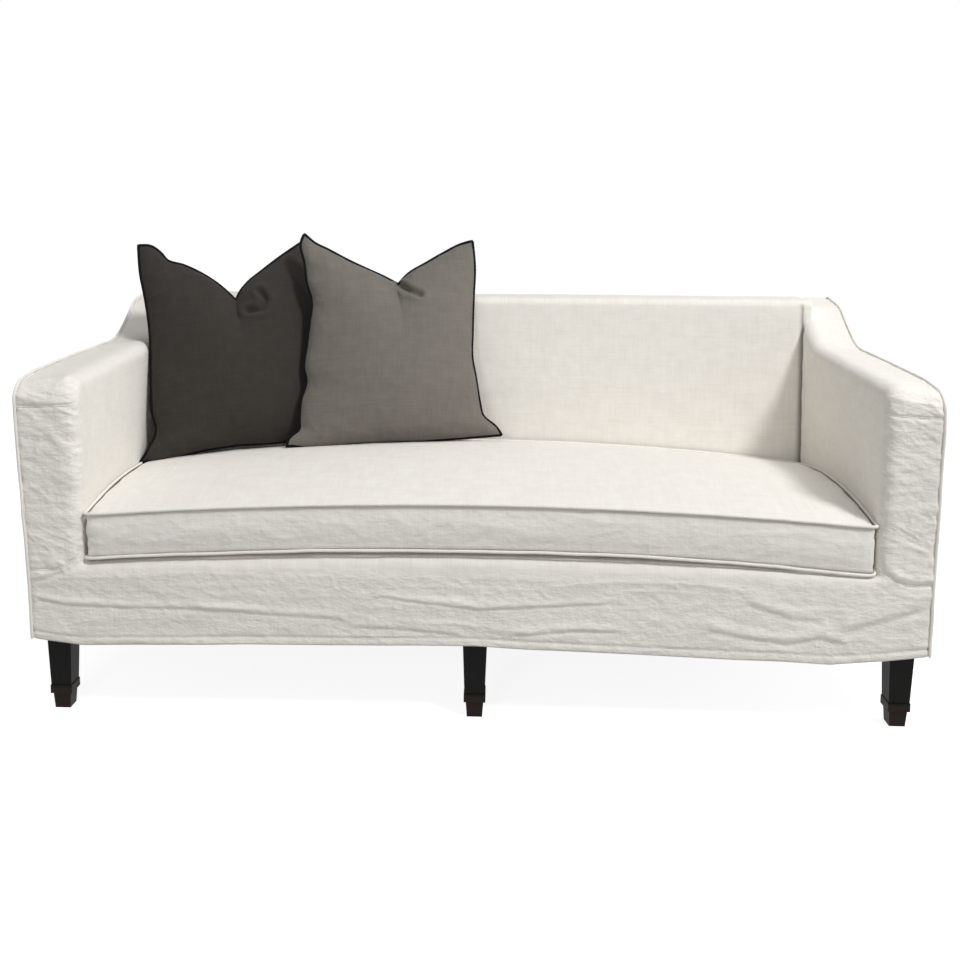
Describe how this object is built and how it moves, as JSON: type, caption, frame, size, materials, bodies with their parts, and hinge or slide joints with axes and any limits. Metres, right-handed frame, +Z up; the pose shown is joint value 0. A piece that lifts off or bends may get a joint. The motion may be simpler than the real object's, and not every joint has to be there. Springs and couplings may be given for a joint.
{
  "type": "slipcovered sofa",
  "caption": "Slipcovered sofa with scooped arms, one crowned loose seat cushion, loose scatter pillows with pressed-in tops and square tapered wooden legs.",
  "frame": {"origin": "on the floor, at the middle of the width and depth", "axes": "+X to the right seen from the front, -Y the front, +Z up"},
  "size_m": [1.9524, 0.8724, 1.06],
  "materials": {
    "linen": "matte washed linen, off-white",
    "leg_wood": "near-black satin stain",
    "charcoal_cloth": "matte charcoal weave",
    "grey_cloth": "matte warm grey weave",
    "black_edging": "matte black edging",
    "padding": "soft filling",
    "burlap": "coarse burlap",
    "webbing": "woven webbing",
    "dust_cloth": "thin black cloth",
    "zip_tape": "woven tape",
    "zip_metal": "satin metal",
    "steel": "plain steel",
    "board": "plain board",
    "frame_wood": "unfinished hardwood"
  },
  "bodies": {
    "root": {"arm_liners_left": "board", "arm_liners_right": "board", "arm_pad_left": "padding", "arm_pad_right": "padding", "arm_piping_left": "linen", "arm_piping_right": "linen", "arm_post_left": "frame_wood", "arm_post_right": "frame_wood", "arm_top_rail_left": "frame_wood", "arm_top_rail_right": "frame_wood", "back_pad": "padding", "back_post_left": "frame_wood", "back_post_right": "frame_wood", "back_rail": "frame_wood", "back_top_rail": "frame_wood", "back_uprights": "frame_wood", "back_webbing": "webbing", "center_rail": "frame_wood", "corner_blocks": "frame_wood", "cover_apron": "linen", "cover_arm_front_left": "linen", "cover_arm_front_right": "linen", "cover_arm_inside_left": "linen", "cover_arm_inside_right": "linen", "cover_arm_outside_left": "linen", "cover_arm_outside_right": "linen", "cover_back_inside": "linen", "cover_back_outside": "linen", "cover_deck": "linen", "deck_burlap": "burlap", "deck_pad": "padding", "deck_rail": "frame_wood", "dust_cover": "dust_cloth", "front_edge_roll": "padding", "front_rail": "frame_wood", "leg_bolts": "steel", "leg_front_center": "leg_wood", "leg_front_left": "leg_wood", "leg_front_right": "leg_wood", "leg_rear_center": "leg_wood", "leg_rear_left": "leg_wood", "leg_rear_right": "leg_wood", "seat_springs": "steel", "side_rail_left": "frame_wood", "side_rail_right": "frame_wood", "spring_clips": "steel"},
    "seat_cushion": {"seat_cushion_cover": "linen", "seat_cushion_core": "padding", "seat_cushion_top_welt": "linen", "seat_cushion_low_welt": "linen", "seat_cushion_zip": "zip_tape"},
    "zip_slider": {"zip_slider": "zip_metal"},
    "dark_pillow": {"dark_pillow_cover": "charcoal_cloth", "dark_pillow_insert": "padding", "dark_pillow_edging": "black_edging"},
    "grey_pillow": {"grey_pillow_cover": "grey_cloth", "grey_pillow_insert": "padding", "grey_pillow_edging": "black_edging"}
  },
  "joints": [
    {"name": "seat_cushion_lift", "type": "slide", "parent": "root", "child": "seat_cushion", "axis": [0, 0, 1], "range_m": [0, 0.6]},
    {"name": "zip_slide", "type": "slide", "parent": "seat_cushion", "child": "zip_slider", "axis": [1, 0, 0], "range_m": [0, 1.284]},
    {"name": "dark_pillow_lift", "type": "slide", "parent": "seat_cushion", "child": "dark_pillow", "axis": [0, 0, 1], "range_m": [0, 0.5]},
    {"name": "grey_pillow_lift", "type": "slide", "parent": "dark_pillow", "child": "grey_pillow", "axis": [0, 0, 1], "range_m": [0, 0.5]}
  ]
}
